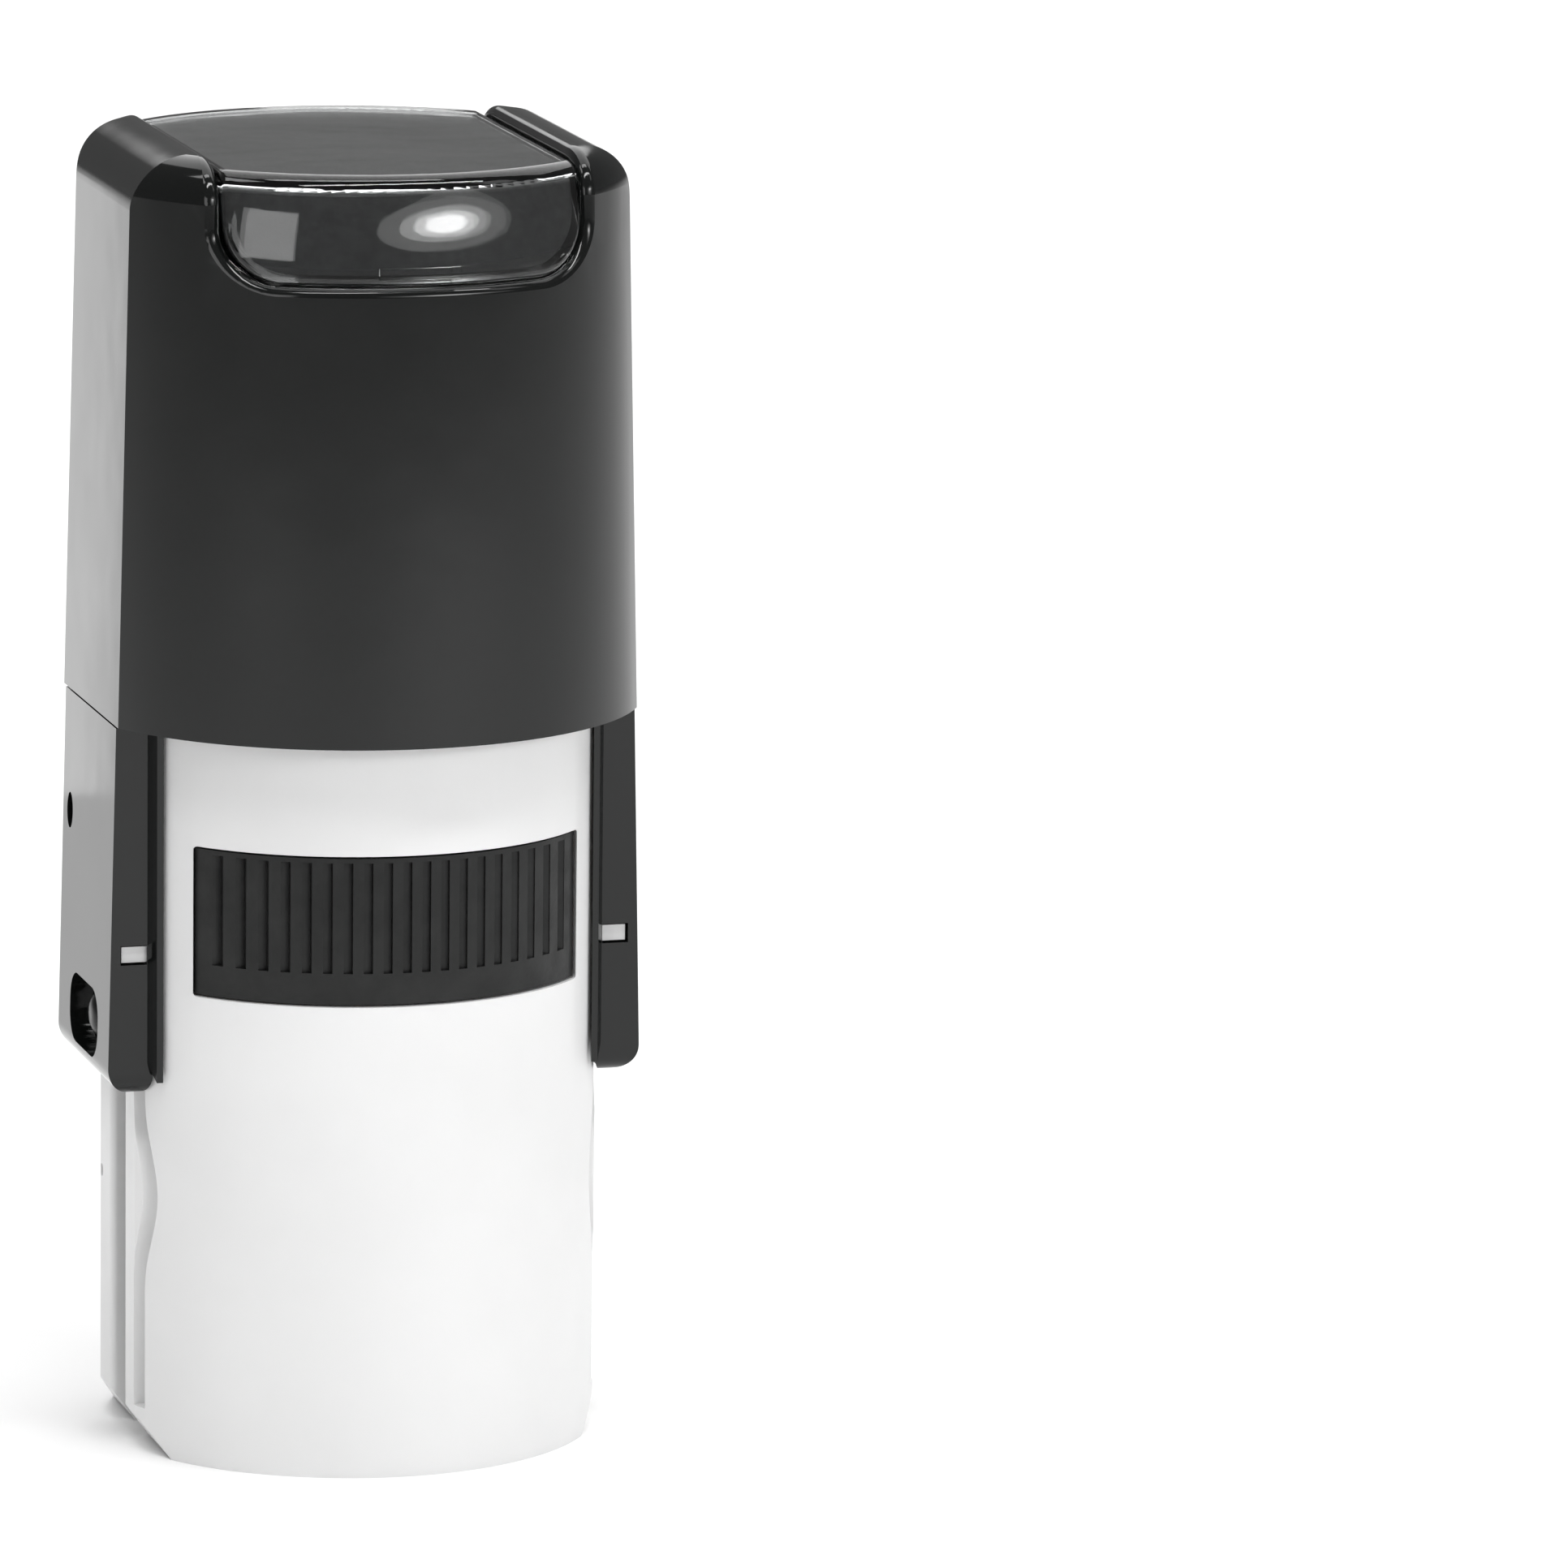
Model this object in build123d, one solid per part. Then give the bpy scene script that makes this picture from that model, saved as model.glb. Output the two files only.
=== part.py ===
from build123d import *
import os
from math import asin, cos, pi, radians, sin, tan

# A self-inking round rubber stamp, in millimetres.
# +Z is up, -Y is the front, and the origin is the centre of the base's bottom rim.
# A white base stands on the paper. A handle slides down over it, and the platen
# that carries the text plate turns half a turn between the ink pad and the paper.

# Travel of the mechanism
AXLE_Z = 23.2
AXLE_R = 1.5
DIE_FACE = 3.7
TRAVEL = AXLE_Z - DIE_FACE
PIN_ARM = 2.4
PIN_R = 0.7
RUNNING_GAP = 0.05
SLIDING_GAP = 0.15

# White base
BASE_R = 13.5
BASE_WALL = 1.3
INSIDE_HALF_X = 10.8
FLAT_X = 12.8
CHANNEL_X = 12.0
CHANNEL_HALF_Y = 5.0
WINDOW_LOW = 25.8
WINDOW_HIGH = 34.0
WINDOW_HALF_X = 10.57
DECK_LOW = 34.2
DECK_TOP = 36.0
GUIDE_TOP = 43.5
WAVE_Z = 14.3
WAVE_HALF_LENGTH = 5.2
WAVE_DEPTH = 1.0
GROOVE_Y = 4.6
GROOVE_HALF_WIDTH = 0.6
GROOVE_LOW = 2.4
GROOVE_FLOOR_X = 11.4

# Black handle: a round block with two flat sides and a slight draft
HANDLE_R = 15.8
HANDLE_HALF_X = 14.3
HANDLE_BOTTOM = 40.2
HANDLE_TOP = 71.0
DRAFT = 1.3
FRONT_WALL = 1.3
SIDE_WALL = 0.8
TOP_WALL = 2.6
SHOULDER_R = 3.1
RIM_R = 2.3

# Index card and its clear cover, let into the top of the handle
COVER_HALF_X = 9.75
COVER_EDGE_R = 0.5
COVER_LOW = 64.7
COVER_DEPTH = 1.3
COVER_DROP = 0.5
LEAN_R = 16.0
BEND_R = 1.0
COVER_GAP = 0.12
CARD_THICKNESS = 0.2
FLAP_CORNER_R = 2.8

# Legs of the drive yoke
LEG_BOTTOM = 20.0
LEG_HALF_Y = 6.25
LEG_SHOULDER = HANDLE_BOTTOM + 0.1
LEG_INNER_X = FLAT_X + 0.1
CHANNEL_BOTTOM = LEG_SHOULDER - TRAVEL - 0.2
LEG_CLEAR_R = BASE_R + 0.25
TONGUE_X = CHANNEL_X + SLIDING_GAP
TONGUE_HALF_Y = CHANNEL_HALF_Y - SLIDING_GAP
CROSSBAR_LOW = 66.2
CROSSBAR_TOP = 68.2
SPRING_SEAT_R = 3.3

# Lock bars through the legs
LOCK_Z = 27.7
LOCK_HEIGHT = 0.86
LOCK_OUTER_X = 13.95
LOCK_HALF_Y = 6.0

# Platen, text plate and ink pad
PLATEN_R = 9.25
PLATEN_TOP = 1.6
PLATEN_THICKNESS = 2.0
DIE_R = 8.5
TAPE_THICKNESS = 0.4
RELIEF = 0.8
EAR_OUTER_X = 10.55
PAD_FACE = 27.65
PAD_R = 9.0
PAD_TOP = 31.0
CASE_LOW = 27.9
CASE_HALF_X = 10.4
GRIP_R = 13.3
GRIP_INNER_R = 11.3
RIB_PITCH = 1.05

# Return spring
WIRE_R = 0.45
COIL_R = 4.5
COILS = 8


def upright(plan, low, high):
    """Stand a plan outline up between two heights."""
    return extrude(Plane.XY.offset(low) * plan, amount=high - low)


def block(x_low, x_high, y_low, y_high, z_low, z_high):
    """A rectangular block between the given limits."""
    size = (x_high - x_low, y_high - y_low, z_high - z_low)
    centre = ((x_low + x_high) / 2, (y_low + y_high) / 2, (z_low + z_high) / 2)
    return Pos(*centre) * Box(*size)


def side_on(outline, x_low, x_high):
    """Push a Y-Z outline through a range of X."""
    return extrude(Plane.YZ.offset(x_low) * outline, amount=x_high - x_low)


def front_on(outline, half_y):
    """Push an X-Z outline through the same distance in front of and behind the centre."""
    return extrude(Plane.XZ * outline, amount=half_y, both=True)


def both_sides(shape):
    """The shape together with its mirror image on the other side of the stamp."""
    return shape + mirror(shape, about=Plane.YZ)


def half_x_at(z):
    """Half the handle's width between its flat sides, at a height."""
    return HANDLE_HALF_X + (HANDLE_BOTTOM - z) * tan(radians(DRAFT))


def radius_at(z):
    """The handle's round radius at a height."""
    return HANDLE_R - (z - HANDLE_BOTTOM) * tan(radians(DRAFT))


def drum():
    """The handle's round form: drafted all round, with a softly rounded rim at the top."""
    outline = Polygon(
        (0, HANDLE_BOTTOM),
        (radius_at(HANDLE_BOTTOM), HANDLE_BOTTOM),
        (radius_at(HANDLE_TOP), HANDLE_TOP),
        (0, HANDLE_TOP),
        align=None,
    )
    rim = outline.vertices().group_by(Axis.Y)[-1].sort_by(Axis.X)[-1]
    return revolve(Plane.XZ * fillet(rim, RIM_R), Axis.Z)


def handle_form():
    """The handle's outer form: the drum with two flat, drafted sides and rounded shoulders."""
    outline = Polygon(
        (-HANDLE_HALF_X, HANDLE_BOTTOM),
        (HANDLE_HALF_X, HANDLE_BOTTOM),
        (half_x_at(HANDLE_TOP), HANDLE_TOP),
        (-half_x_at(HANDLE_TOP), HANDLE_TOP),
        align=None,
    )
    outline = fillet(outline.vertices().group_by(Axis.Y)[-1], SHOULDER_R)
    return drum() & front_on(outline, 2 * HANDLE_R)


def crown(inset):
    """The rounder form that the cover follows, moved inwards: its face leans back towards the top."""
    centre = radius_at(COVER_LOW) - LEAN_R
    lean = LEAN_R - inset
    top = HANDLE_TOP - COVER_DROP - inset
    angle = asin((top - COVER_LOW) / lean)
    foot, middle, brow = [
        (centre + lean * cos(angle * share), COVER_LOW + lean * sin(angle * share))
        for share in (0, 0.5, 1)
    ]
    ground = (foot[0], HANDLE_BOTTOM)
    lines = [
        Line((0, HANDLE_BOTTOM), ground),
        Line(ground, foot),
        ThreePointArc(foot, middle, brow),
        Line(brow, (0, top)),
        Line((0, top), (0, HANDLE_BOTTOM)),
    ]
    outline = make_face(lines)
    bend = outline.vertices().group_by(Axis.Y)[-1].sort_by(Axis.X)[-1]
    return revolve(Plane.XZ * fillet(bend, max(BEND_R - inset, 0.2)), Axis.Z)


def saddle_outline(margin):
    """The strip over the handle that the cover takes up, seen from the front."""
    half_x = COVER_HALF_X - margin
    low = COVER_LOW + margin
    strip = Pos(0, low + 10) * Rectangle(2 * half_x, 20)
    corners = strip.vertices().group_by(Axis.Y)[0]
    return front_on(fillet(corners, FLAP_CORNER_R), 2 * HANDLE_R)


def recess_rim(cap, form):
    """Edges where the cover's recess breaks through the outer surface of the handle."""
    return [
        edge for edge in cap.edges()
        if abs((edge @ 0.5).X) < COVER_HALF_X + 0.01
        and (edge @ 0.5).Z > COVER_LOW - 0.01
        and min(face.distance_to(edge @ 0.5) for face in form.faces()) < 0.001
    ]


def handle_cap():
    form = handle_form()
    cap = form - (saddle_outline(0) - crown(COVER_DEPTH))
    cap = fillet(recess_rim(cap, form), COVER_EDGE_R)
    wall_step = COVER_LOW - 1.0
    plan = Circle(HANDLE_R - FRONT_WALL) & Rectangle(2 * (HANDLE_HALF_X - SIDE_WALL), 3 * HANDLE_R)
    low_height = wall_step - HANDLE_BOTTOM
    hollow = extrude(Plane.XY.offset(HANDLE_BOTTOM) * plan, amount=low_height, taper=DRAFT)
    upper_half_x = half_x_at(wall_step) - SIDE_WALL
    upper = Circle(HANDLE_R - COVER_DEPTH - 1.8) & Rectangle(2 * upper_half_x, 3 * HANDLE_R)
    upper += Rectangle(2 * upper_half_x, 2 * CHANNEL_HALF_Y)
    upper_height = HANDLE_TOP - TOP_WALL - wall_step
    hollow += extrude(Plane.XY.offset(wall_step) * upper, amount=upper_height, taper=DRAFT)
    return cap - hollow


def index_cover():
    thickness = COVER_DEPTH - CARD_THICKNESS - 2 * COVER_GAP
    strip = saddle_outline(COVER_GAP)
    cover = fillet((crown(0) & strip).edges(), 0.4)
    finger_lip = crown(-0.25) & block(-2.2, 2.2, -20, 0, COVER_LOW + 0.5, COVER_LOW + 1.1)
    return cover + finger_lip - crown(thickness)


def index_card():
    outer_inset = COVER_DEPTH - CARD_THICKNESS - 0.02
    inner_inset = COVER_DEPTH - 0.02
    return (crown(outer_inset) - crown(inner_inset)) & saddle_outline(0.6)


def lower_leg():
    """One leg below the handle, flush with the handle's flat side and hugging the base."""
    top = HANDLE_BOTTOM - 0.1
    outline = Polygon(
        (BASE_R - 2, LEG_BOTTOM),
        (half_x_at(LEG_BOTTOM), LEG_BOTTOM),
        (half_x_at(top), top),
        (BASE_R - 2, top),
        align=None,
    )
    outer_bottom = outline.vertices().group_by(Axis.Y)[0].sort_by(Axis.X)[-1]
    leg = front_on(fillet(outer_bottom, 1.5), HANDLE_R)
    side = Pos(0, (LEG_BOTTOM + 2 * top) / 2) * Rectangle(2 * LEG_HALF_Y, 2 * top - LEG_BOTTOM)
    side = fillet(side.vertices().group_by(Axis.Y)[0], 1.2)
    leg &= side_on(side, 10.0, 16.0)
    return leg - upright(clear_of_base(), 0, HANDLE_TOP)


def clear_of_base():
    """Plan of the base with the room it needs inside the legs."""
    return Circle(LEG_CLEAR_R) & Rectangle(2 * LEG_INNER_X, 3 * BASE_R)


def guide_lips():
    """Thin lips of one leg that lie over the round of the base, front and back."""
    ring = Circle(LEG_CLEAR_R + 0.3) - Circle(LEG_CLEAR_R)
    near_leg = Pos(BASE_R, 0) * Rectangle(BASE_R, 4 * LEG_HALF_Y)
    lips = upright(ring & near_leg, LEG_BOTTOM, HANDLE_BOTTOM - 0.1)
    tip = LEG_HALF_Y + 0.7
    side = Polygon(
        (5.8, LEG_BOTTOM + 2.4),
        (tip, LEG_BOTTOM + 0.8),
        (tip, HANDLE_BOTTOM),
        (5.8, HANDLE_BOTTOM),
        align=None,
    )
    side += mirror(side, about=Plane.YZ)
    return lips & side_on(side, 0, 20)


def upper_leg():
    """One leg inside the handle, with its half of the crossbar."""
    inset = SIDE_WALL + 0.05
    outline = Polygon(
        (TONGUE_X, LEG_SHOULDER),
        (TONGUE_X, 56.0),
        (11.0, 57.2),
        (11.0, CROSSBAR_LOW),
        (0, CROSSBAR_LOW),
        (0, CROSSBAR_TOP),
        (half_x_at(CROSSBAR_TOP) - inset - 0.8, CROSSBAR_TOP),
        (half_x_at(CROSSBAR_TOP) - inset, CROSSBAR_TOP - 0.8),
        (half_x_at(HANDLE_BOTTOM) - inset, HANDLE_BOTTOM),
        (half_x_at(HANDLE_BOTTOM) - inset, LEG_SHOULDER - 1.5),
        (LEG_INNER_X, LEG_SHOULDER - 1.5),
        (LEG_INNER_X, LEG_SHOULDER),
        align=None,
    )
    return front_on(outline, TONGUE_HALF_Y)


def lock_plan():
    """A lock bar seen from above: thin past the flat of the base, thicker at its two ends."""
    inner_x = LEG_INNER_X + 0.1
    return Polygon(
        (inner_x - 0.5, -LOCK_HALF_Y),
        (LOCK_OUTER_X, -LOCK_HALF_Y),
        (LOCK_OUTER_X, LOCK_HALF_Y),
        (inner_x - 0.5, LOCK_HALF_Y),
        (inner_x, LOCK_HALF_Y - 1.35),
        (inner_x, 1.35 - LOCK_HALF_Y),
        align=None,
    )


def lock_slot():
    """Room for a lock bar to slide through a leg, behind the front lip and out past the rear one."""
    half_height = LOCK_HEIGHT / 2 + 0.1
    low, high = LOCK_Z - half_height, LOCK_Z + half_height
    outer_x = LOCK_OUTER_X + 0.1
    return block(12.6, outer_x, -8, 8, low, high) + block(11, outer_x, -LOCK_HALF_Y - 0.1, 8, low, high)


def drive_yoke():
    leg = lower_leg() + upper_leg() + guide_lips()
    face = half_x_at(AXLE_Z)
    recess = Pos(0, AXLE_Z) * RectangleRounded(6.9, 3.8, 1.6)
    leg -= side_on(recess, face - 0.8, face + 1)
    leg -= side_on(Pos(0, AXLE_Z) * Circle(AXLE_R + RUNNING_GAP), 10, 16)
    leg -= lock_slot()
    yoke = both_sides(leg)
    yoke += upright(Circle(SPRING_SEAT_R), CROSSBAR_LOW - 1.5, CROSSBAR_LOW)
    eye = Ellipse(0.7, 0.98)
    yoke -= side_on(Pos(4.55, 33.6) * eye, -16, -10)
    return yoke - side_on(Pos(-4.55, 33.6) * eye, 10, 16)


def lock_bar(side):
    bar = upright(lock_plan(), LOCK_Z - LOCK_HEIGHT / 2, LOCK_Z + LOCK_HEIGHT / 2)
    return bar if side > 0 else mirror(bar, about=Plane.YZ)


def pin_track():
    """Outline of the track that a guide pin follows while the platen turns over."""
    steps = 24
    room = PIN_R + 0.2
    front, back = [], []
    for step in range(steps + 1):
        turn = pi * step / steps
        y = -PIN_ARM * sin(turn)
        z = AXLE_Z - TRAVEL * turn / pi + PIN_ARM * cos(turn)
        front.append((y - room, z))
        back.append((y + room, z))
    track = make_face(Polyline(*front, *reversed(back), close=True))
    track += Pos(0, AXLE_Z + PIN_ARM) * Circle(room)
    return track + Pos(0, AXLE_Z - TRAVEL - PIN_ARM) * Rectangle(2 * room, 2 * PIN_ARM)


def axle_slot():
    room = AXLE_R + SLIDING_GAP
    slot = Pos(0, AXLE_Z / 2 - 1) * Rectangle(2 * room, AXLE_Z + 2)
    return slot + Pos(0, AXLE_Z) * Circle(room)


def wave(z):
    """How far the side grooves swing out, at a height."""
    reach = (z - WAVE_Z) / WAVE_HALF_LENGTH
    if abs(reach) >= 1:
        return 0
    return WAVE_DEPTH * (1 + cos(pi * reach)) / 2


def guide_groove():
    """Outline of the wavy groove down each side of the base."""
    steps = 16
    rise = (CHANNEL_BOTTOM - GROOVE_LOW) / steps
    heights = [GROOVE_LOW + rise * step for step in range(steps + 1)]
    front = [(-GROOVE_Y - GROOVE_HALF_WIDTH - wave(z), z) for z in heights]
    back = [(-GROOVE_Y + GROOVE_HALF_WIDTH - wave(z), z) for z in heights]
    edge = Spline(*front)
    other = Spline(*back)
    return make_face([edge, Line(edge @ 1, other @ 1), other, Line(other @ 0, edge @ 0)])


def base_housing():
    housing = upright(Circle(BASE_R), 0, DECK_TOP)
    housing &= block(-FLAT_X, FLAT_X, -BASE_R, BASE_R, 0, DECK_TOP)
    inside = Circle(BASE_R - BASE_WALL) & Rectangle(2 * INSIDE_HALF_X, 3 * BASE_R)
    housing -= upright(inside, -1, DECK_LOW)
    window = Pos(0, (WINDOW_LOW + WINDOW_HIGH) / 2)
    window *= RectangleRounded(2 * WINDOW_HALF_X, WINDOW_HIGH - WINDOW_LOW, 0.2)
    housing -= front_on(window, 2 * BASE_R)
    channel = block(CHANNEL_X, BASE_R + 1, -CHANNEL_HALF_Y, CHANNEL_HALF_Y, CHANNEL_BOTTOM, DECK_TOP + 1)
    side_cuts = channel + side_on(pin_track(), INSIDE_HALF_X - 1, CHANNEL_X)
    side_cuts += side_on(axle_slot(), INSIDE_HALF_X - 1, BASE_R + 1)
    side_cuts += side_on(guide_groove(), GROOVE_FLOOR_X, BASE_R + 1)
    corner = Polygon((11.35, -0.1), (14.0, -0.1), (14.0, 3.55), align=None)
    side_cuts += front_on(corner, 2 * BASE_R)
    side_cuts += side_on(Pos(4.0, 13.6) * Circle(0.35), FLAT_X - 0.6, BASE_R + 1)
    housing -= both_sides(side_cuts)
    slot_rims = housing.edges().filter_by(Axis.Z).filter_by(
        lambda edge: abs(abs(edge.center().X) - FLAT_X) < 0.01 and abs(edge.center().Y) < 2
    )
    housing = fillet(slot_rims, 0.35)
    guide = Circle(BASE_R) - Circle(BASE_R - BASE_WALL) - Rectangle(3 * BASE_R, 2 * CHANNEL_HALF_Y)
    housing += upright(guide, DECK_TOP, GUIDE_TOP)
    return housing + upright(Circle(SPRING_SEAT_R), DECK_TOP, DECK_TOP + 3)


def ink_cartridge():
    plan = Circle(GRIP_R) & Rectangle(2 * CASE_HALF_X, 3 * BASE_R)
    case = upright(plan, WINDOW_LOW + 0.12, WINDOW_HIGH - 0.15)
    case -= upright(Circle(GRIP_INNER_R), WINDOW_LOW, CASE_LOW)
    case -= upright(Circle(PAD_R + 0.1), CASE_LOW - 1, PAD_TOP + 0.1)
    count = int(2 * (CASE_HALF_X - 0.5) / RIB_PITCH)
    for index in range(count + 1):
        x = (index - count / 2) * RIB_PITCH
        reach = (GRIP_R**2 - x**2) ** 0.5
        for side in (-1, 1):
            y = side * (reach + 0.15)
            case -= block(x - 0.24, x + 0.24, y - 0.45, y + 0.45, WINDOW_LOW + 1.8, WINDOW_HIGH - 0.4)
    return case


def ink_pad():
    return upright(Circle(PAD_R), PAD_FACE, PAD_TOP)


def platen():
    plate = upright(Circle(PLATEN_R), AXLE_Z + PLATEN_TOP - PLATEN_THICKNESS, AXLE_Z + PLATEN_TOP)
    hub = side_on(Pos(0, AXLE_Z) * Circle(2.6), -EAR_OUTER_X, EAR_OUTER_X)
    plate += hub & block(-12, 12, -4, 4, 0, AXLE_Z + PLATEN_TOP)
    ear_outline = Pos(0, AXLE_Z) * Circle(2.6)
    ear_outline += Pos(0, AXLE_Z + PIN_ARM / 2) * Rectangle(2.4, PIN_ARM)
    ear_outline += Pos(0, AXLE_Z + PIN_ARM) * Circle(1.2)
    ear = side_on(ear_outline, DIE_R + 0.5, EAR_OUTER_X)
    ear += side_on(Pos(0, AXLE_Z + PIN_ARM) * Circle(PIN_R), EAR_OUTER_X, CHANNEL_X - 0.2)
    plate += both_sides(ear)
    return plate - side_on(Pos(0, AXLE_Z) * Circle(AXLE_R), -16, 16)


def platen_axle():
    half_length = half_x_at(AXLE_Z) - 0.35
    axle = side_on(Pos(0, AXLE_Z) * Circle(AXLE_R), -half_length, half_length)
    return fillet(axle.edges().filter_by(GeomType.CIRCLE), 1.2)


def die_tape():
    low = AXLE_Z + PLATEN_TOP
    return upright(Circle(DIE_R), low, low + TAPE_THICKNESS)


def star(radius, centre_angle, ring):
    """A five-pointed star set at an angle round the die."""
    points = []
    for step in range(10):
        reach = radius if step % 2 == 0 else radius * 0.4
        angle = pi / 2 + step * pi / 5
        points.append((reach * cos(angle), reach * sin(angle)))
    outline = make_face(Polyline(*points, close=True))
    angle = radians(centre_angle)
    return Pos(ring * cos(angle), ring * sin(angle)) * outline


def text_plate():
    low = AXLE_Z + PLATEN_TOP + TAPE_THICKNESS
    top = AXLE_Z + DIE_FACE
    plate = upright(Circle(DIE_R), low, top - RELIEF)
    relief = Circle(8.0) - Circle(7.6)
    relief += Circle(4.9) - Circle(4.7)
    teeth = 36
    for step in range(teeth):
        relief += Rot(0, 0, 360 * step / teeth) * (Pos(8.0, 0) * Rectangle(0.7, 0.6))
    relief += star(2.6, 0, 0)
    for step in range(6):
        relief += star(1.0, 60 * step, 6.25)
    return plate + upright(relief, top - RELIEF, top)


def return_spring():
    low = DECK_TOP + WIRE_R + 0.02
    high = CROSSBAR_LOW - WIRE_R - 0.02
    path = Helix(pitch=(high - low) / COILS, height=high - low, radius=COIL_R, center=(0, 0, low))
    wire = Plane(origin=path @ 0, z_dir=path % 0) * Circle(WIRE_R)
    return sweep(wire, path=path)


os.makedirs("parts", exist_ok=True)
NODES = {
    "base_housing": base_housing(),
    "ink_cartridge": ink_cartridge(),
    "ink_pad": ink_pad(),
    "return_spring": return_spring(),
    "handle_cap": handle_cap(),
    "index_card": index_card(),
    "index_cover": index_cover(),
    "drive_yoke": drive_yoke(),
    "lock_bar_left": lock_bar(-1),
    "lock_bar_right": lock_bar(1),
    "platen": platen(),
    "platen_axle": platen_axle(),
    "die_tape": die_tape(),
    "text_plate": text_plate(),
}
for node, shape in NODES.items():
    print(node, len(shape.solids()), round(shape.volume, 2), shape.is_valid)
    export_step(shape, f"parts/{node}.step")
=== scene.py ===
from math import cos, pi, radians, sin

import bmesh
import bpy
from mathutils import Matrix, Vector


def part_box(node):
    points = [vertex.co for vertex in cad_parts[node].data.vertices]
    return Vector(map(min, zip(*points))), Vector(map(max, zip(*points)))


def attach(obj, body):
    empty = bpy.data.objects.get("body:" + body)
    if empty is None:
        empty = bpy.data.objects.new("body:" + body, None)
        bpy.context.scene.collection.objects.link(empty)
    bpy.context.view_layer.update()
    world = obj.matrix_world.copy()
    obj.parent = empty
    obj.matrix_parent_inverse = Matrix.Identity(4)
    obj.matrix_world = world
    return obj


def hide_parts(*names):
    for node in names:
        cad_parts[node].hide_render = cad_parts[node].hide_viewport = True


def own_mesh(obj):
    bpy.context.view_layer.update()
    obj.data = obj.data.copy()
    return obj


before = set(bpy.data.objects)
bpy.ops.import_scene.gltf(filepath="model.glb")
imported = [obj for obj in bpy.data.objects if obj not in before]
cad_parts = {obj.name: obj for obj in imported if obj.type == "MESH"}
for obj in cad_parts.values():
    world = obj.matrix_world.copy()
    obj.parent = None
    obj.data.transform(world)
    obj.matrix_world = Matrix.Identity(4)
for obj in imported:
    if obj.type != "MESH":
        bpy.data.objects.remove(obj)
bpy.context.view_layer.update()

MM = 0.001

# The camera: where it stands round the stamp, and how far the stamp is off the picture's middle
CAMERA_AZIMUTH = -16.0
CAMERA_ELEVATION = 11.17
CAMERA_ROLL = 0.71
CAMERA_DISTANCE = 0.6134
CAMERA_LENS = 259.9
AIM_HEIGHT = 0.036
AIM_LEFT_OF_MIDDLE = 0.02357
AIM_ABOVE_MIDDLE = 0.0007

# The felt pad: how far its lower face is crowned, and how much of its radius the rim rounds
PAD_CROWN = 0.12 * MM
PAD_RIM_SHARE = 0.04
PAD_SIDE_GAP = 0.05 * MM

# The return spring's wire, and how much of each end is closed
WIRE_RADIUS = 0.45 * MM
SPRING_TURNS = 9.5
CLOSED_TURNS = 1.1

# Places in the studio
CROWN_OF_HANDLE = (0, 0, 0.068)
MIDDLE_OF_LEGS = (0, 0, 0.03)


# ---------------------------------------------------------------- materials

class Recipe:
    """A node material under construction: one principled shader fed by procedural textures."""

    def __init__(self, name):
        self.material = bpy.data.materials.new(name)
        self.material.use_nodes = True
        self.nodes = self.material.node_tree.nodes
        self.links = self.material.node_tree.links
        self.shader = self.nodes["Principled BSDF"]
        self.place = self.nodes.new("ShaderNodeTexCoord").outputs["Object"]

    def set(self, **values):
        """Set the shader's own sockets. Underscores stand for spaces."""
        for name, value in values.items():
            self.shader.inputs[name.replace("_", " ")].default_value = value
        return self

    def stretched(self, scale):
        """Object coordinates stretched by a factor for each axis."""
        node = self.nodes.new("ShaderNodeMapping")
        node.inputs["Scale"].default_value = scale
        self.links.new(self.place, node.inputs["Vector"])
        return node.outputs["Vector"]

    def noise(self, size, detail=3.0, roughness=0.55, stretch=None):
        """Noise whose features are about size metres across."""
        node = self.nodes.new("ShaderNodeTexNoise")
        node.inputs["Scale"].default_value = 1.0 / size
        node.inputs["Detail"].default_value = detail
        node.inputs["Roughness"].default_value = roughness
        source = self.stretched(stretch) if stretch else self.place
        self.links.new(source, node.inputs["Vector"])
        return node.outputs["Fac"]

    def cells(self, size):
        """Distance from the centres of scattered cells about size metres across."""
        node = self.nodes.new("ShaderNodeTexVoronoi")
        node.inputs["Scale"].default_value = 1.0 / size
        self.links.new(self.place, node.inputs["Vector"])
        return node.outputs["Distance"]

    def fitted(self, source, low, high, start=0.3, end=0.7):
        """Map the span from start to end of a texture onto low to high."""
        node = self.nodes.new("ShaderNodeMapRange")
        node.inputs["From Min"].default_value = start
        node.inputs["From Max"].default_value = end
        node.inputs["To Min"].default_value = low
        node.inputs["To Max"].default_value = high
        self.links.new(source, node.inputs["Value"])
        return node.outputs["Result"]

    def colours(self, source, first, second, start=0.35, end=0.65):
        """Blend two colours along a texture, into the base colour."""
        node = self.nodes.new("ShaderNodeValToRGB")
        node.color_ramp.elements[0].position = start
        node.color_ramp.elements[1].position = end
        node.color_ramp.elements[0].color = (*first, 1)
        node.color_ramp.elements[1].color = (*second, 1)
        self.links.new(source, node.inputs["Fac"])
        self.links.new(node.outputs["Color"], self.shader.inputs["Base Color"])
        return self

    def rough(self, source, low, high):
        """Vary the roughness along a texture."""
        self.links.new(self.fitted(source, low, high), self.shader.inputs["Roughness"])
        return self

    def bumps(self, *layers):
        """Stack bump layers, each given as a texture and a height in metres."""
        normal = None
        for source, height in layers:
            node = self.nodes.new("ShaderNodeBump")
            node.inputs["Distance"].default_value = height
            self.links.new(source, node.inputs["Height"])
            if normal:
                self.links.new(normal, node.inputs["Normal"])
            normal = node.outputs["Normal"]
        self.links.new(normal, self.shader.inputs["Normal"])
        return self


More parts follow.
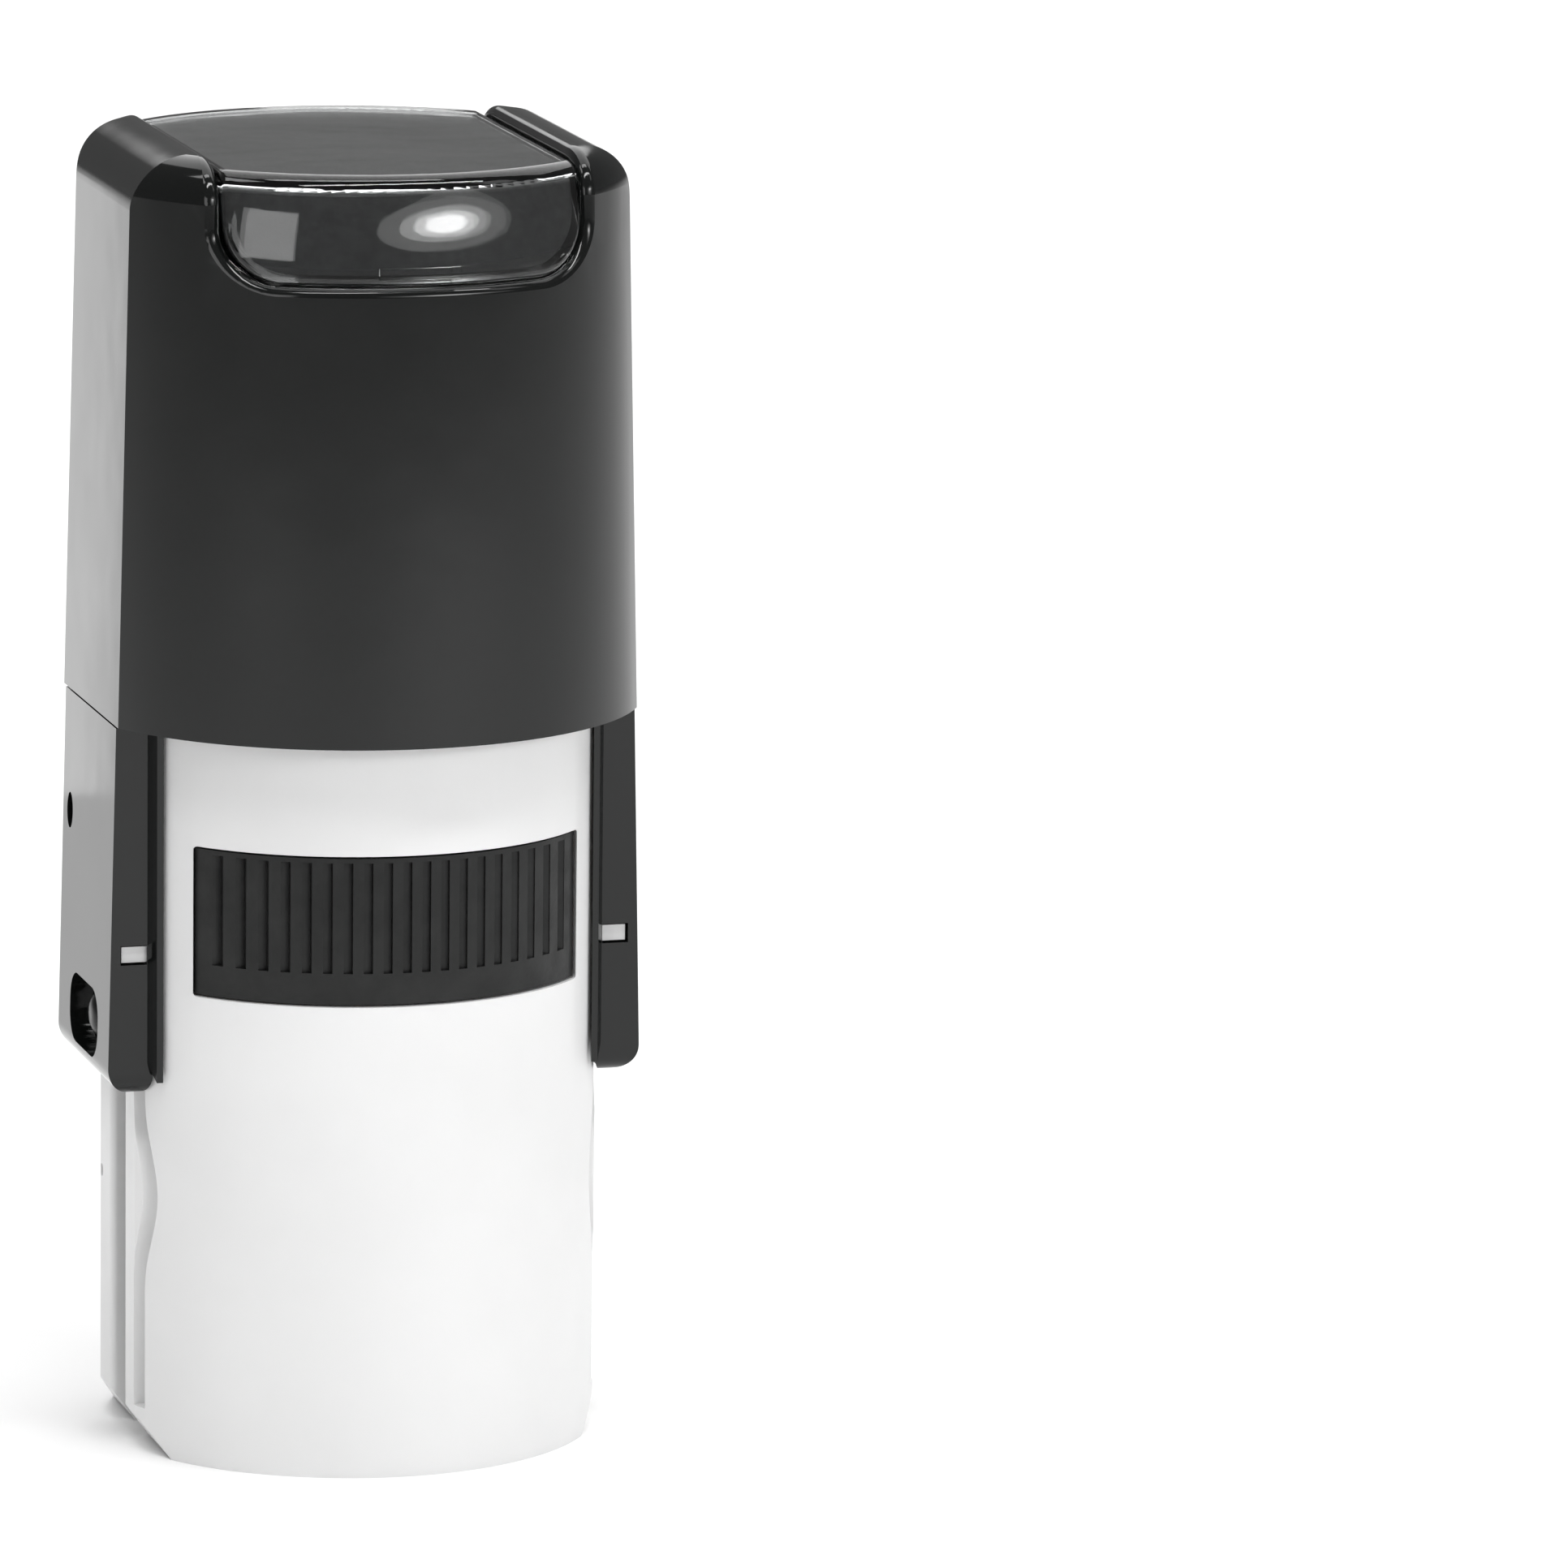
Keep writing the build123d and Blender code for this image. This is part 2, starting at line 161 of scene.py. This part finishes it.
def gloss_black():
    """Polished black plastic: faint flow lines from moulding and fine handling marks."""
    recipe = Recipe("gloss_black")
    recipe.set(Specular_IOR_Level=0.4)
    recipe.colours(recipe.noise(0.02, 2), (0.0040, 0.0046, 0.0044), (0.0062, 0.0068, 0.0066))
    recipe.rough(recipe.noise(0.006, 4), 0.07, 0.12)
    marks = recipe.noise(0.0016, 3, stretch=(1, 1, 0.05))
    recipe.bumps((recipe.noise(0.009, 2), 0.00002), (marks, 0.0000008))
    return recipe.material


def satin_black():
    """The axle's black: smooth but not polished."""
    recipe = Recipe("satin_black")
    recipe.set(Specular_IOR_Level=0.25)
    recipe.colours(recipe.noise(0.002, 3), (0.0045, 0.0048, 0.0047), (0.0075, 0.0078, 0.0077))
    recipe.rough(recipe.noise(0.001, 3), 0.22, 0.32)
    recipe.bumps((recipe.noise(0.0003, 3), 0.000004))
    return recipe.material


def ribbed_black():
    """The cartridge's satin black, a little worn along its ribs."""
    recipe = Recipe("ribbed_black")
    recipe.set(Specular_IOR_Level=0.35)
    recipe.colours(recipe.noise(0.002, 4), (0.0055, 0.0058, 0.0057), (0.011, 0.0115, 0.0112))
    recipe.rough(recipe.noise(0.0015, 4), 0.34, 0.5)
    recipe.bumps((recipe.noise(0.0003, 3), 0.00001))
    return recipe.material


def white_plastic():
    """Slightly milky white plastic with a soft shine."""
    recipe = Recipe("white_plastic")
    recipe.set(Subsurface_Weight=0.1, Subsurface_Scale=0.0012, Specular_IOR_Level=0.4)
    recipe.shader.inputs["Subsurface Radius"].default_value = (1.0, 0.95, 0.9)
    recipe.colours(recipe.noise(0.012, 3), (0.78, 0.78, 0.78), (0.81, 0.81, 0.81))
    recipe.rough(recipe.noise(0.005, 4), 0.32, 0.42)
    recipe.bumps((recipe.noise(0.01, 2), 0.00002), (recipe.noise(0.00025, 2), 0.000003))
    return recipe.material


def lock_white():
    """The lock bars' plain white."""
    recipe = Recipe("lock_white")
    recipe.colours(recipe.noise(0.003, 3), (0.62, 0.62, 0.62), (0.72, 0.72, 0.72))
    recipe.rough(recipe.noise(0.002, 3), 0.35, 0.5)
    recipe.bumps((recipe.noise(0.0003, 2), 0.000006))
    return recipe.material


def clear_plastic():
    """The cover's clear, polished plastic."""
    recipe = Recipe("clear_plastic")
    recipe.set(Transmission_Weight=1.0, IOR=1.49)
    recipe.colours(recipe.noise(0.01, 2), (0.86, 0.87, 0.87), (0.92, 0.93, 0.93))
    recipe.rough(recipe.noise(0.004, 4), 0.015, 0.04)
    recipe.bumps((recipe.noise(0.008, 2), 0.00002))
    return recipe.material


def dark_card():
    """The index card's plain dark paper."""
    recipe = Recipe("dark_card")
    recipe.colours(recipe.noise(0.0006, 5), (0.010, 0.0105, 0.0105), (0.020, 0.021, 0.021))
    recipe.rough(recipe.noise(0.0005, 4), 0.5, 0.65)
    recipe.bumps((recipe.noise(0.00015, 4), 0.00001))
    return recipe.material


def grey_plastic():
    """The platen's dark grey plastic."""
    recipe = Recipe("grey_plastic")
    recipe.colours(recipe.noise(0.005, 3), (0.045, 0.046, 0.048), (0.06, 0.061, 0.063))
    recipe.rough(recipe.noise(0.002, 3), 0.32, 0.45)
    recipe.bumps((recipe.noise(0.0003, 3), 0.000008))
    return recipe.material


def adhesive_film():
    """The film that holds the text plate to the platen."""
    recipe = Recipe("adhesive_film")
    recipe.colours(recipe.noise(0.001, 4), (0.62, 0.58, 0.46), (0.70, 0.66, 0.54))
    recipe.rough(recipe.noise(0.001, 3), 0.45, 0.6)
    recipe.bumps((recipe.noise(0.0003, 3), 0.00001))
    return recipe.material


def die_rubber():
    """Laser-cut rubber: dull, grainy and slightly streaked."""
    recipe = Recipe("die_rubber")
    recipe.colours(recipe.noise(0.002, 4), (0.055, 0.012, 0.010), (0.10, 0.022, 0.016))
    recipe.rough(recipe.noise(0.0008, 4), 0.55, 0.75)
    streaks = recipe.noise(0.0003, 2, stretch=(1, 0.08, 1))
    recipe.bumps((streaks, 0.00002))
    return recipe.material


def inked_felt():
    """Felt soaked with black ink."""
    recipe = Recipe("inked_felt")
    recipe.set(Sheen_Weight=0.25, Sheen_Roughness=0.5)
    recipe.colours(recipe.noise(0.0008, 5), (0.004, 0.004, 0.006), (0.018, 0.018, 0.024))
    recipe.rough(recipe.noise(0.0006, 4), 0.5, 0.85)
    recipe.bumps((recipe.noise(0.00022, 4), 0.00012), (recipe.cells(0.0004), 0.00004))
    return recipe.material


def spring_steel():
    """Drawn steel wire."""
    recipe = Recipe("spring_steel")
    recipe.set(Metallic=1.0)
    recipe.colours(recipe.noise(0.003, 3), (0.42, 0.42, 0.43), (0.58, 0.58, 0.59))
    recipe.rough(recipe.noise(0.0012, 4), 0.22, 0.38)
    recipe.bumps((recipe.noise(0.0004, 3), 0.000006))
    return recipe.material


def paint(obj, material):
    """Give every slot of an object one material."""
    if not obj.material_slots:
        obj.data.materials.append(material)
    for place in obj.material_slots:
        place.material = material


# ---------------------------------------------------------------- pieces of its own

def add_mesh(name, mesh_maker, material):
    """A new smooth object whose mesh is filled in by mesh_maker."""
    mesh = bpy.data.meshes.new(name)
    work = bmesh.new()
    mesh_maker(work)
    work.normal_update()
    work.to_mesh(mesh)
    work.free()
    mesh.shade_smooth()
    obj = bpy.data.objects.new(name, mesh)
    bpy.context.scene.collection.objects.link(obj)
    paint(obj, material)
    return obj


def felt_profile(radius, low, high):
    """Radius and height down the pad's crowned lower face and up its side."""
    flat = radius * (1 - PAD_RIM_SHARE)
    edge = radius * PAD_RIM_SHARE
    face_steps, rim_steps = 14, 6
    points = []
    for step in range(face_steps + 1):
        share = step / face_steps
        drop = PAD_CROWN * (1 - share**2)
        points.append((flat * share, low + PAD_CROWN - drop))
    for step in range(1, rim_steps + 1):
        angle = pi / 2 * step / rim_steps
        points.append((flat + edge * sin(angle), low + PAD_CROWN + edge * (1 - cos(angle))))
    points.append((radius, high - edge))
    points.append((radius - edge * 0.5, high))
    return points


def felt_pad():
    """The felt pad: a crowned disc, face down, with a soft rounded rim."""
    low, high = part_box("ink_pad")
    radius = high.x - PAD_SIDE_GAP
    profile = felt_profile(radius, low.z, high.z)
    segments = 96

    def fill(work):
        rings = []
        for reach, height in profile[1:]:
            ring = []
            for step in range(segments):
                angle = 2 * pi * step / segments
                fuzz = 1 + 0.004 * sin(17 * angle + 900 * height) + 0.003 * sin(41 * angle)
                place = (reach * fuzz * cos(angle), reach * fuzz * sin(angle), height)
                ring.append(work.verts.new(place))
            rings.append(ring)
        bottom = work.verts.new((0, 0, profile[0][1]))
        top = work.verts.new((0, 0, high.z))
        for step in range(segments):
            after = (step + 1) % segments
            work.faces.new((bottom, rings[0][after], rings[0][step]))
            work.faces.new((top, rings[-1][step], rings[-1][after]))
            for inner, outer in zip(rings, rings[1:]):
                work.faces.new((inner[step], inner[after], outer[after], outer[step]))

    pad = add_mesh("felt_pad", fill, inked_felt())
    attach(pad, "base")
    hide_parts("ink_pad")


def coil_spring():
    """The return spring, with its end turns closed and ground flat."""
    low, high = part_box("return_spring")
    wire = WIRE_RADIUS
    coil = high.x - wire
    turns, closed = SPRING_TURNS, CLOSED_TURNS
    per_turn, around = 40, 12
    span = high.z - low.z - 2 * wire

    def height(turn):
        """Height of the wire's middle: end turns lie flat, the rest climb evenly."""
        flat = 2 * wire * 0.55
        if turn < closed:
            return flat * turn / closed
        if turn > turns - closed:
            return span - flat * (turns - turn) / closed
        return flat + (span - 2 * flat) * (turn - closed) / (turns - 2 * closed)

    def fill(work):
        rings = []
        count = int(turns * per_turn)
        for step in range(count + 1):
            turn = step / per_turn
            angle = 2 * pi * turn
            outward = Vector((cos(angle), sin(angle), 0))
            middle = outward * coil + Vector((0, 0, low.z + wire + height(turn)))
            ring = []
            for side in range(around):
                tilt = 2 * pi * side / around
                point = middle + outward * wire * cos(tilt) + Vector((0, 0, wire * sin(tilt)))
                point.z = min(max(point.z, low.z), high.z)
                ring.append(work.verts.new(point))
            rings.append(ring)
        for first, second in zip(rings, rings[1:]):
            for side in range(around):
                after = (side + 1) % around
                work.faces.new((first[side], first[after], second[after], second[side]))
        work.faces.new(list(reversed(rings[0])))
        work.faces.new(rings[-1])

    spring = add_mesh("coil_spring", fill, spring_steel())
    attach(spring, "base")
    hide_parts("return_spring")
    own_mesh(spring)


def repaint_nodes():
    """Give every CAD node its finished material."""
    black, lock, grey = gloss_black(), lock_white(), grey_plastic()
    finishes = {
        "base_housing": white_plastic(),
        "ink_cartridge": ribbed_black(),
        "handle_cap": black,
        "index_card": dark_card(),
        "index_cover": clear_plastic(),
        "drive_yoke": black,
        "lock_bar_left": lock,
        "lock_bar_right": lock,
        "platen": grey,
        "platen_axle": satin_black(),
        "die_tape": adhesive_film(),
        "text_plate": die_rubber(),
    }
    for node, material in finishes.items():
        paint(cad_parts[node], material)


# ---------------------------------------------------------------- studio

def floor():
    """A wide pale floor."""
    reach = 3.0
    mesh = bpy.data.meshes.new("floor")
    corners = [(-reach, -reach, 0), (reach, -reach, 0), (reach, reach, 0), (-reach, reach, 0)]
    mesh.from_pydata(corners, [], [(0, 1, 2, 3)])
    obj = bpy.data.objects.new("floor", mesh)
    bpy.context.scene.collection.objects.link(obj)
    recipe = Recipe("floor_white")
    recipe.set(Roughness=0.9, Specular_IOR_Level=0.1)
    recipe.colours(recipe.noise(0.5, 2), (0.90, 0.90, 0.90), (0.92, 0.92, 0.92))
    paint(obj, recipe.material)


def soft_light(name, place, aim, size, radiance, shape="RECTANGLE"):
    """A studio light that faces a point. Its power follows from its size and its brightness."""
    data = bpy.data.lights.new(name, "AREA")
    data.shape = shape
    data.size, data.size_y = size
    area = size[0] * size[1] * (pi / 4 if shape == "ELLIPSE" else 1)
    data.energy = radiance * pi * area
    obj = bpy.data.objects.new(name, data)
    obj.location = place
    obj.rotation_euler = (Vector(aim) - Vector(place)).to_track_quat("-Z", "Y").to_euler()
    obj.visible_camera = False
    bpy.context.scene.collection.objects.link(obj)


def round_the_stamp(azimuth, elevation, distance):
    """A place round the handle's crown: azimuth 0 is the front, and positive turns to the right."""
    a, e = radians(azimuth), radians(elevation)
    return Vector((sin(a) * cos(e), -cos(a) * cos(e), sin(e))) * distance + Vector(CROWN_OF_HANDLE)


def studio():
    """A dim room, lights over the floor behind the stamp, and softboxes round its front."""
    world = bpy.data.worlds.new("studio")
    world.use_nodes = True
    background = world.node_tree.nodes["Background"]
    background.inputs["Color"].default_value = (1, 1, 1, 1)
    background.inputs["Strength"].default_value = 0.17
    bpy.context.scene.world = world
    bpy.context.scene.view_settings.view_transform = "Standard"
    soft_light("floor_wash", (0.16, 0.80, 0.5), (0.16, 0.80, 0), (0.7, 1.5), 1.7)
    soft_light("top_strip", (0, 0.02, 0.9), (0, 0, 0), (0.6, 0.12), 7.0)
    soft_light("brow_strip", round_the_stamp(12, 64, 0.6), CROWN_OF_HANDLE, (0.7, 0.065), 17.0)
    soft_light("key", round_the_stamp(62, 40, 0.8), MIDDLE_OF_LEGS, (0.2, 0.2), 1.4)
    for step, (width, radiance) in enumerate(((0.50, 1.0), (0.32, 2.0), (0.22, 4.0), (0.14, 6.0))):
        place = round_the_stamp(26, 14, 0.46 - 0.004 * step)
        soft_light(f"front_{step}", place, CROWN_OF_HANDLE, (width, 0.32 * width), radiance, "ELLIPSE")
    soft_light("left_brow", round_the_stamp(-92, 55, 0.4), CROWN_OF_HANDLE, (0.16, 0.08), 4.5)
    soft_light("front_left", round_the_stamp(-48, 10, 0.45), CROWN_OF_HANDLE, (0.18, 0.14), 2.4)
    side_panels()


def side_panels():
    """Overlapping panels behind the stamp, which grade the reflection in its left side."""
    right_edge, height, middle = -0.012, 0.044, 0.038
    for step in range(4):
        left_edge = -0.0350 - 0.0011 * step
        x = (left_edge + right_edge) / 2
        size = (right_edge - left_edge, height)
        soft_light(f"side_panel_{step}", (x, 0.10, middle), (x, 0, middle), size, 0.6)


def camera():
    """A long lens that frames the stamp at the left of a square picture."""
    a, e, roll = radians(CAMERA_AZIMUTH), radians(CAMERA_ELEVATION), radians(CAMERA_ROLL)
    back = Vector((sin(a) * cos(e), -cos(a) * cos(e), sin(e)))
    level_right = Vector((cos(a), sin(a), 0))
    level_up = back.cross(level_right)
    right = level_right * cos(roll) + level_up * sin(roll)
    up = level_up * cos(roll) - level_right * sin(roll)
    place = Vector((0, 0, AIM_HEIGHT)) + back * CAMERA_DISTANCE
    place += right * AIM_LEFT_OF_MIDDLE - up * AIM_ABOVE_MIDDLE
    data = bpy.data.cameras.new("camera")
    data.sensor_width = 36
    data.lens = CAMERA_LENS
    data.clip_start = 0.01
    data.clip_end = 20
    obj = bpy.data.objects.new("camera", data)
    turn = Matrix((right, up, back)).transposed().to_4x4()
    obj.matrix_world = Matrix.Translation(place) @ turn
    bpy.context.scene.collection.objects.link(obj)
    bpy.context.scene.camera = obj


repaint_nodes()
felt_pad()
coil_spring()
floor()
studio()
camera()
